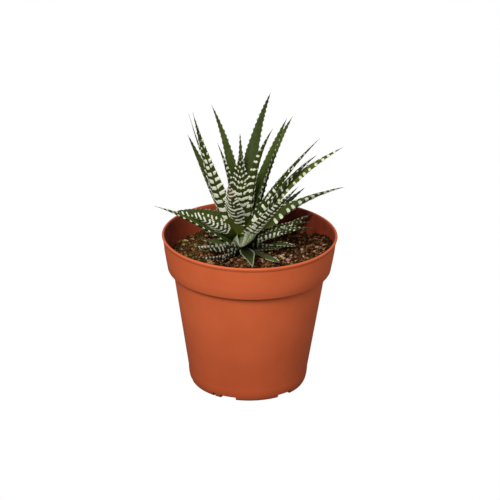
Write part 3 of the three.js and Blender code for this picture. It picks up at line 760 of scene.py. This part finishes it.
# White bands, their breaks, forks and beads
LAST_BAND = 0.97
BAND_THINNING = 0.35
BAND_CROWDING = 0.3
STROKE_SPREAD = (0.85, 1.15)
LEAN_SPREAD = (-0.15, 0.15)
PITCH_SPREAD = (0.88, 1.12)
REACH_SPREAD = (0.94, 1.06)
SAG_POWER = 1.4
END_TAPER = 0.3
SIDE_BREAK = (0.36, 0.5)
MIDDLE_BREAK = (-0.12, 0.12)
CHANCE_BREAK = (-0.7, 0.7)
BREAK_WIDTHS = (0.25, 0.55)
BAND_WOBBLE = 0.22
WOBBLE_PITCH = 3.4
FORK_SHARE = 0.3
FORK_THICKNESS = 0.8
FORK_SPAN = (0.1, 0.8)
FORK_PITCH = 0.55
BEAD_PITCH = 1.9
BEAD_BITE = 0.2
DOT_BITE = 0.8
DOT_RUN = 0.3
BAND_RELIEF = 0.25
RELIEF_EDGE = (-0.10, 0.30)
RELIEF_FULL_WIDTH = 2.0
RELIEF_LEAST = 0.2

# Colour of the base, the tip and the margins
FRESH_SHARE = 0.26
FRESH_LEVELS = (83.0, 87.0)
DRY_TIP = (0.955, 0.99)
DRY_PART = (0.68, 0.85)
RIM_LINE = 0.55
RIM_START = 1.2


def band_places(item, draw):
    """Where the white bands cross the leaf: distance along it, thickness, lean and bead phase."""
    places = []
    at = item["first"] * item["length"]
    while at < LAST_BAND * item["length"]:
        along = at / item["length"]
        thick = item["stroke"] * (1 - BAND_THINNING * along) * draw.uniform(*STROKE_SPREAD)
        lean = item["lean"] + draw.uniform(*LEAN_SPREAD)
        places.append((at, thick, lean, draw.uniform(0, 2 * np.pi)))
        at += item["pitch"] * draw.uniform(*PITCH_SPREAD) * (1 - BAND_CROWDING * along)
    return places


def band_line(item, place, u, half):
    """How far along the leaf a band's middle line runs, at each place across it."""
    at, _, lean, _ = place
    return at + half * (item["sag"] * np.abs(u) ** SAG_POWER + lean * u)


def tooth_row(item, places, side, draw, distance, half):
    """How far a margin's teeth stand out at each distance along the leaf, from 0 to 1."""
    bump = np.zeros_like(distance)
    for place in places:
        at = band_line(item, place, side, half) + draw.uniform(*TOOTH_SHIFTS)
        size = draw.uniform(*TOOTH_SIZES)
        bump = np.maximum(bump, size * np.clip(1 - ((distance - at) / TOOTH_LENGTH) ** 2, 0, 1))
    return bump


def band_breaks(item, draw):
    """Where across the leaf a band is interrupted."""
    if item["columns"] == 3:
        near, far = SIDE_BREAK
        return [draw.uniform(-far, -near), draw.uniform(near, far)]
    if item["columns"] == 2:
        return [draw.uniform(*MIDDLE_BREAK)]
    return [draw.uniform(*CHANCE_BREAK) for _ in range(draw.integers(0, 3))]


def band_field(item, places, draw, distance, u, half):
    """How far inside a white band each point of the outer face lies, in millimetres."""
    field = np.full(distance.shape, -1.0)
    for place in places:
        at, thick, _, phase = place
        along = at / item["length"]
        wobble = BAND_WOBBLE * np.sin(2 * np.pi * u * half / WOBBLE_PITCH + phase)
        line = band_line(item, place, u, half) + wobble
        taper = 1 - END_TAPER * u * u
        inside = thick * taper / 2 - np.abs(distance - line)
        if draw.uniform() < FORK_SHARE:
            side = draw.choice([-1.0, 1.0])
            branch = line - FORK_PITCH * item["pitch"] * smoothstep(side * u, *FORK_SPAN)
            forked = FORK_THICKNESS * thick / 2 - np.abs(distance - branch)
            inside = np.maximum(inside, np.where(side * u > FORK_SPAN[0], forked, -1.0))
        inside = np.minimum(inside, (item["reach"] * draw.uniform(*REACH_SPREAD) - np.abs(u)) * half)
        broken = smoothstep(along, item["dots"], item["dots"] + DOT_RUN)
        bead = 0.5 - 0.5 * np.cos(2 * np.pi * u * half / BEAD_PITCH + phase)
        inside = inside - (BEAD_BITE + DOT_BITE * broken) * bead * thick / 2
        for where in band_breaks(item, draw):
            inside = np.minimum(inside, np.abs(u - where) * half - draw.uniform(*BREAK_WIDTHS))
        field = np.maximum(field, inside)
    return field


def make_leaf(number, item, material):
    """A leaf as rows of points: the outer face from margin to margin, then back over the inner face."""
    draw = np.random.default_rng(FIRST_LEAF_SEED + number)
    along, point, across, inner = leaf_path(item, round(item["length"] / RING_STEP))
    half = np.maximum(half_width(item, along), TIP_RADIUS)
    depth = np.maximum(leaf_depth(item, along), TIP_RADIUS)
    outer_u = np.sin(np.linspace(-1, 1, OUTER_COLUMNS + 1) * np.pi / 2)
    inner_u = np.sin(np.linspace(1, -1, INNER_COLUMNS + 1) * np.pi / 2)[1:-1]
    u = np.concatenate([outer_u, inner_u])[None, :]
    away = np.abs(u)
    is_outer = np.concatenate([np.ones(len(outer_u)), np.zeros(len(inner_u))])[None, :]
    distance = (along * item["length"])[:, None] + 0 * u
    wide = half[:, None] + 0 * u
    # Teeth stand out of both margins
    to_margin = (1 - away) * wide
    places = band_places(item, draw)
    left = tooth_row(item, places, -1.0, draw, distance, wide)
    right = tooth_row(item, places, 1.0, draw, distance, wide)
    teeth = np.where(u < 0, left, right) * np.clip(wide / TOOTH_FULL_WIDTH, TOOTH_LEAST, 1.0)
    tooth = teeth * np.clip(1 - to_margin / TOOTH_DEPTH, 0, 1) ** TOOTH_POWER
    # White bands cross the outer face
    band = np.where(is_outer > 0, band_field(item, places, draw, distance, u, wide), -1.0)
    narrowing = np.clip(wide / RELIEF_FULL_WIDTH, RELIEF_LEAST, 1.0)
    relief = BAND_RELIEF * smoothstep(band, *RELIEF_EDGE) * narrowing
    groove = item["plump"] * GROOVE * (1 - away)
    below = np.where(is_outer > 0, depth[:, None] * (1 - away ** KEEL_POWER),
                     wide * (HOLLOW * (1 - u * u) + groove))
    swell = 1 + item["plump"] * (PLUMP_SWELL * (1 - away) - PLUMP_PINCH * away ** 4)
    sideways = u * wide * swell + np.sign(u) * (TOOTH_HEIGHT * tooth + 0.5 * relief * away)
    downward = below + relief * (1 - 0.5 * away)
    points = (point[:, None, :] + across[:, None, :] * sideways[..., None]
              - inner[:, None, :] * downward[..., None])
    # Where the skin is white, pale, fresh, darkened by painted shade at the base, or dry
    bar_depth = np.where(u < 0, TOOTH_DEPTH, item["bars"])
    bar = item["beads"] * teeth * np.clip(1 - to_margin / bar_depth, 0, 1) ** TOOTH_POWER
    outer_white = OUTER_WHITE + OUTER_WHITE_GAIN * smoothstep(item["reach"], *OUTER_WHITE_REACH)
    white = np.maximum(band, np.where(is_outer > 0, outer_white * tooth, bar) - WHITE_FROM)
    edge = item["rim"] * np.clip(RIM_START - to_margin / RIM_LINE, 0, 1)
    fresh = (1 - smoothstep(along, 0.0, FRESH_SHARE)) * smoothstep(item["attach"], *FRESH_LEVELS)
    fresh = np.maximum(fresh, item["fresh"])
    # Painted shade from the base out along the leaf
    soiled = 1 - smoothstep(along, 0.5 * item["soiled"], item["soiled"] + 0.01)
    dry = np.maximum(smoothstep(along, *DRY_TIP), item["dry"] * smoothstep(along, *DRY_PART))

    def at_points(values, base, tip):
        return np.append((values + 0 * distance).ravel(), [base, tip])

    attributes = {
        "white": at_points(np.clip(white, -1, 1), -1, -1),
        "along": at_points(along[:, None], 0, 1),
        "outer": at_points(is_outer, 0, 0),
        "pale": at_points(item["pale"], item["pale"], item["pale"]),
        "edge": at_points(edge, 0, 0),
        # Painted shade over the whole leaf
        "shade": at_points(item["shade"], item["shade"], item["shade"]),
        "tooth": at_points(tooth, 0, 0),
        "fresh": at_points(fresh[:, None], 1, 0),
        # Painted shade from the base out
        "soiled": at_points(soiled[:, None], 1, 0),
        "dry": at_points(dry[:, None], 0, 1),
    }
    ends = [points[0].mean(0), points[-1].mean(0)]
    faces = tube_faces(*points.shape[:2])
    points = np.vstack([points.reshape(-1, 3), ends])
    piece = mesh_object(f"blade_{number:02d}", points, faces, material, attributes)
    return seat(piece, "leaf", f"leaf_{number:02d}")


# Loose bits on the compost

ROCK_SWELLS = ((0.45, 1.3), (0.18, 3.1))
ROCK_SHAPES = 12
EDGE_CLEARANCE = 1.5
WALL_CLEARANCE = 0.4
LEAF_CLEARANCE = 0.9
LUMP_LIFT = 0.15
LENGTH_SPREAD = (0.7, 1.2)
WIDTH_SPREAD = (0.7, 1.1)
HEIGHT_SPREAD = (0.7, 1.3)
TILTS = (-0.5, 0.5)
TURNS = (0, 6.28)


def rock(draw, subdivisions):
    """An irregular lump of radius 1 or so, as points and faces round its own centre."""
    shape = bmesh.new()
    bmesh.ops.create_icosphere(shape, subdivisions=subdivisions, radius=1.0)
    offset = Vector(draw.uniform(0, 50, 3))
    for vertex in shape.verts:
        swell = 1
        for height, scale in ROCK_SWELLS:
            swell += height * noise.noise(vertex.co * scale + offset)
        vertex.co *= swell
    shape.verts.ensure_lookup_table()
    points = np.array([vertex.co for vertex in shape.verts])
    faces = np.array([[vertex.index for vertex in face.verts] for face in shape.faces])
    shape.free()
    return points, faces


def join_lumps(name, material, lumps):
    """Many lumps as one piece of compost. Each is its points, its faces and its attributes."""
    starts = np.cumsum([0] + [len(points) for points, _, _ in lumps])
    faces = np.vstack([faces + start for (_, faces, _), start in zip(lumps, starts)])
    attributes = {}
    for label in lumps[0][2]:
        attributes[label] = np.concatenate([np.full(len(points), own[label]) for points, _, own in lumps])
    points = np.vstack([points for points, _, _ in lumps])
    return seat(mesh_object(name, points, faces.tolist(), material, attributes), "compost")


def scatter(name, material, seed, count, sizes, flatness, stretch, clear_of, fineness=2):
    """Many lumps on the compost, sunk a little and clear of the leaves, as one piece."""
    draw = np.random.default_rng(seed)
    shapes = [rock(draw, fineness) for _ in range(ROCK_SHAPES)]
    lumps = []
    for _ in range(count):
        reach = (wall_radius(SOIL_LEVEL) - EDGE_CLEARANCE) * math.sqrt(draw.uniform())
        turn = draw.uniform(0, 2 * math.pi)
        x, y = reach * math.cos(turn), reach * math.sin(turn)
        size = sizes[0] + (sizes[1] - sizes[0]) * draw.uniform() ** 2
        z = float(soil_height(x, y)) + crumb_height(x, y) + LUMP_LIFT * size
        if size + reach > wall_radius(z) - WALL_CLEARANCE:
            continue
        if clear_of.find_nearest(Vector((x, y, z)) * MM)[3] < size * LEAF_CLEARANCE * MM:
            continue
        points, faces = shapes[draw.integers(len(shapes))]
        form = points * np.array([stretch * draw.uniform(*LENGTH_SPREAD), draw.uniform(*WIDTH_SPREAD),
                                  flatness * draw.uniform(*HEIGHT_SPREAD)]) * size
        tilt = Euler((draw.uniform(*TILTS), draw.uniform(*TILTS), draw.uniform(*TURNS))).to_matrix()
        # Each lump's own tone, and the painted shade of the compost where it lies
        own = {"tone": draw.uniform(), "soil_shade": soil_shade_at(np.float64(x), np.float64(y))}
        lumps.append((form @ np.array(tilt).T + [x, y, z], faces, own))
    return join_lumps(name, material, lumps)


# Single bits that stand out: column and row in pixels of the photograph, radius, length against
# width, and tone
Bit = namedtuple("Bit", "column row radius stretch tone")
BITS_SEED = 14
BIT_FINENESS = 3
BIT_FLATNESS = 0.75
BIT_LIFT = 0.35
BIT_TILTS = (-0.3, 0.3)
BIT_TURNS = (-0.6, 0.6)
SIGHT_STEPS = 6
BITS = [Bit(*values) for values in (
    (281.4, 257, 1.1, 1.2, 0.93), (283.8, 259.5, 1.2, 1.1, 0.80), (286.4, 257.2, 1.3, 1.2, 0.66),
    (287.6, 260.6, 1.1, 1.3, 0.62), (284.6, 262, 0.9, 1.2, 0.76), (289.6, 258.4, 0.9, 1.3, 0.64),
    (283.2, 255, 0.7, 1.4, 0.60), (288.4, 262.6, 0.7, 1.4, 0.80), (291.6, 256.0, 0.8, 1.5, 0.56),
    (302, 250, 0.9, 1.1, 0.66), (317, 248, 0.9, 2.0, 0.60), (324, 245, 0.6, 1.8, 0.52),
    (263.4, 262.2, 0.9, 1.2, 0.62), (261.6, 259.6, 0.7, 1.5, 0.50), (255, 262, 0.8, 1.5, 0.44),
    (242.5, 258.5, 1.2, 1.3, 0.42), (239, 261, 1.1, 1.4, 0.40), (236.4, 263.4, 1.0, 1.5, 0.46),
    (222, 262, 1.1, 1.6, 0.42), (228, 263.4, 0.8, 1.8, 0.50), (244.4, 265, 0.8, 1.7, 0.95),
    (247.4, 262.8, 0.6, 1.4, 0.90), (196, 246, 1.3, 1.1, 0.88), (191, 256, 1.0, 1.1, 0.97),
    (186, 241, 0.8, 2.0, 0.88), (183.6, 245, 0.7, 1.6, 0.86), (181, 248, 0.7, 1.4, 0.30),
    (193, 239.4, 0.6, 1.9, 0.84), (304, 257, 0.7, 1.6, 0.72), (311, 254, 0.6, 1.2, 0.50),
    (296, 256, 1.1, 1.3, 0.34), (212, 264, 0.6, 1.6, 0.55),
)]


def under_pixel(column, row):
    """The point of the compost that the camera sees at a pixel of the photograph."""
    rise, roll = math.radians(CAMERA_ELEVATION), math.radians(CAMERA_ROLL)
    back = np.array([0.0, -math.cos(rise), math.sin(rise)])
    up = np.array([0.0, math.sin(rise), math.cos(rise)])
    right = np.array([1.0, 0.0, 0.0])
    dx, dy = column - PHOTO_SIDE / 2, row - PHOTO_SIDE / 2
    across = dx * math.cos(roll) + dy * math.sin(roll)
    down = dy * math.cos(roll) - dx * math.sin(roll)
    course = right * across / FOCAL_PIXELS - up * down / FOCAL_PIXELS - back
    eye = np.array(CAMERA_TARGET) + back * CAMERA_DISTANCE
    level = SOIL_LEVEL
    for _ in range(SIGHT_STEPS):
        point = eye + course * (level - eye[2]) / course[2]
        level = float(soil_height(point[0], point[1]))
    return point


def place_bits(material):
    """The single bits, each laid on the compost."""
    draw = np.random.default_rng(BITS_SEED)
    lumps = []
    for bit in BITS:
        points, faces = rock(draw, BIT_FINENESS)
        turn = Euler((draw.uniform(*BIT_TILTS), draw.uniform(*BIT_TILTS),
                      draw.uniform(*BIT_TURNS))).to_matrix()
        form = (points * np.array([bit.stretch, 1.0, BIT_FLATNESS]) * bit.radius) @ np.array(turn).T
        place = under_pixel(bit.column, bit.row)
        lumps.append((form + place + [0.0, 0.0, BIT_LIFT * bit.radius], faces, {"tone": bit.tone}))
    return join_lumps("bits", material, lumps)


# Stage

CAMERA_SEES_TO = 20.0
AMBIENT = (0.44, 0.44, 0.44)
LIGHTS_AIM = (0, 0, 0.08)
KEY_PLACE = (-0.50, -1.12, 1.05)
KEY_SIZE = 0.7
KEY_POWER = 22.0
FILL_PLACE = (1.2, -0.6, 0.5)
FILL_SIZE = 0.8
FILL_POWER = 3.8
FLOOR_SHADE = (0.08, 0.08, 0.08, 1.0)
FLOOR_REACH = 6.0


def make_camera():
    rise = math.radians(CAMERA_ELEVATION)
    back = Vector((0.0, -math.cos(rise), math.sin(rise)))
    data = bpy.data.cameras.new("camera")
    data.sensor_width = SENSOR
    data.lens = FOCAL_PIXELS / PHOTO_SIDE * SENSOR
    data.clip_end = CAMERA_SEES_TO
    camera = bpy.data.objects.new("camera", data)
    camera.location = (Vector(CAMERA_TARGET) + back * CAMERA_DISTANCE) * MM
    turn = Matrix.Rotation(math.radians(CAMERA_ROLL), 3, back)
    camera.rotation_euler = (turn @ (-back).to_track_quat("-Z", "Y").to_matrix()).to_euler()
    bpy.context.scene.collection.objects.link(camera)
    bpy.context.scene.camera = camera


def area_light(name, place, size, power):
    data = bpy.data.lights.new(name, "AREA")
    data.shape = "DISK"
    data.size = size
    data.energy = power
    light = bpy.data.objects.new(name, data)
    light.location = place
    light.rotation_euler = (Vector(LIGHTS_AIM) - Vector(place)).to_track_quat("-Z", "Y").to_euler()
    bpy.context.scene.collection.objects.link(light)


def make_world():
    """Even light from all round, which the camera sees as plain white."""
    world = bpy.data.worlds.new("studio")
    bpy.context.scene.world = world
    world.use_nodes = True
    tree = world.node_tree
    background = tree.nodes["Background"]
    background.inputs["Strength"].default_value = 1.0
    seen = tree.nodes.new("ShaderNodeLightPath").outputs["Is Camera Ray"]
    shade = tree.nodes.new("ShaderNodeMix")
    shade.data_type = "RGBA"
    colors = [socket for socket in shade.inputs if socket.type == "RGBA"]
    colors[0].default_value = (*AMBIENT, 1.0)
    colors[1].default_value = (1.0, 1.0, 1.0, 1.0)
    result = next(socket for socket in shade.outputs if socket.type == "RGBA")
    tree.links.new(seen, shade.inputs[0])
    tree.links.new(result, background.inputs["Color"])


def make_floor():
    """A floor that the camera sees as plain white, and that throws little light back."""
    mesh = bpy.data.meshes.new("floor")
    corners = [(x * FLOOR_REACH, y * FLOOR_REACH, 0) for x, y in ((-1, -1), (1, -1), (1, 1), (-1, 1))]
    mesh.from_pydata(corners, [], [(0, 1, 2, 3)])
    floor = bpy.data.objects.new("floor", mesh)
    bpy.context.scene.collection.objects.link(floor)
    nodes = Nodes("floor_white")
    nodes.put(nodes.shader.inputs["Base Color"], FLOOR_SHADE)
    nodes.put(nodes.shader.inputs["Roughness"], 0.9)
    glow = nodes.add("ShaderNodeEmission", {"Strength": 1.0})
    seen = nodes.add("ShaderNodeLightPath").outputs["Is Camera Ray"]
    blend = nodes.add("ShaderNodeMixShader", {0: seen, 1: nodes.shader.outputs[0], 2: glow.outputs[0]})
    nodes.put(nodes.tree.nodes["Material Output"].inputs["Surface"], blend.outputs[0])
    floor.data.materials.append(nodes.material)


def make_stage():
    bpy.context.scene.view_settings.view_transform = "Standard"
    make_world()
    area_light("key", KEY_PLACE, KEY_SIZE, KEY_POWER)
    area_light("fill", FILL_PLACE, FILL_SIZE, FILL_POWER)
    make_floor()


def tree_of(pieces):
    """One search tree over the pieces' surfaces."""
    points, faces, total = [], [], 0
    for piece in pieces:
        points += [vertex.co for vertex in piece.data.vertices]
        faces += [[total + corner for corner in face.vertices] for face in piece.data.polygons]
        total += len(piece.data.vertices)
    return BVHTree.FromPolygons(points, faces)


# The scene

make_camera()
make_stage()
make_pot(plastic_material())
make_soil(compost_material())
skin = leaf_material()
blades = [make_leaf(number, item, skin) for number, item in enumerate(LEAVES, 1)]
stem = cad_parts["stem"]
stem.data.materials.clear()
stem.data.materials.append(bark_material())
search = tree_of(blades)
crumb = chip_material("crumb", *zip((0.08, 0.36, 0.60, 0.88), CRUMBS))
fibre = chip_material("fibre", *zip((0.1, 0.5, 0.8, 0.95), FIBRES))
stone = chip_material("grit", *zip((0.1, 0.5, 0.9), GRIT))
bark = chip_material("bit", *zip((0.30, 0.42, 0.60, 0.78, 0.88, 0.95), BIT_BARK + BIT_MOSS))
scatter("crumbs", crumb, seed=11, count=2300, sizes=(0.45, 1.15), flatness=0.85, stretch=1.1,
        clear_of=search)
scatter("dust", crumb, seed=15, count=4500, sizes=(0.22, 0.5), flatness=0.85, stretch=1.2,
        clear_of=search, fineness=1)
scatter("fibres", fibre, seed=12, count=1800, sizes=(0.25, 0.65), flatness=0.6, stretch=3.0,
        clear_of=search)
scatter("grit", stone, seed=13, count=130, sizes=(0.45, 1.15), flatness=0.8, stretch=1.2,
        clear_of=search)
place_bits(bark)
